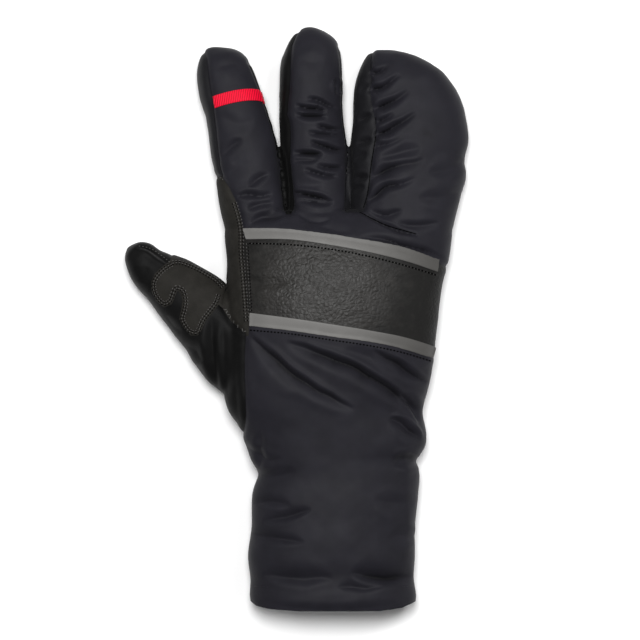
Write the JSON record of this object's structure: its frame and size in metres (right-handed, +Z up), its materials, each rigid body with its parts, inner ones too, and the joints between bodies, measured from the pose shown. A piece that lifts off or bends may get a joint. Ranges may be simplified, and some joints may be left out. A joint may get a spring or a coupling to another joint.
{
  "type": "lobster claw glove",
  "caption": "Winter glove for the right hand with separate thumb, index and middle finger, one shared compartment for ring and little finger, and a long gauntlet cuff, lying on its palm.",
  "frame": {"origin": "centre of the bounding box at its bottom, on the surface that the glove lies on", "axes": "+Y towards the fingertips, +X towards the little finger, +Z up, out of the back of the hand"},
  "size_m": [0.1718, 0.2922, 0.0411],
  "materials": {
    "softshell": "near-black woven softshell",
    "stretch_fabric": "smooth black stretch fabric",
    "palm_leather": "brown-black suede-like synthetic leather",
    "band_leather": "pebbled black synthetic leather",
    "reflective_tape": "grey retroreflective film",
    "red_webbing": "red ribbed webbing"
  },
  "bodies": {
    "root": {"finger_back": "softshell", "gauntlet": "softshell", "cuff_hem": "softshell", "palm_panel": "palm_leather", "thumb_patch": "palm_leather", "knuckle_band": "band_leather", "thumb_sleeve": "stretch_fabric", "index_side": "stretch_fabric", "middle_side": "stretch_fabric", "claw_side": "stretch_fabric", "upper_tape": "reflective_tape", "lower_tape": "reflective_tape", "pull_tab": "red_webbing"}
  },
  "joints": []
}
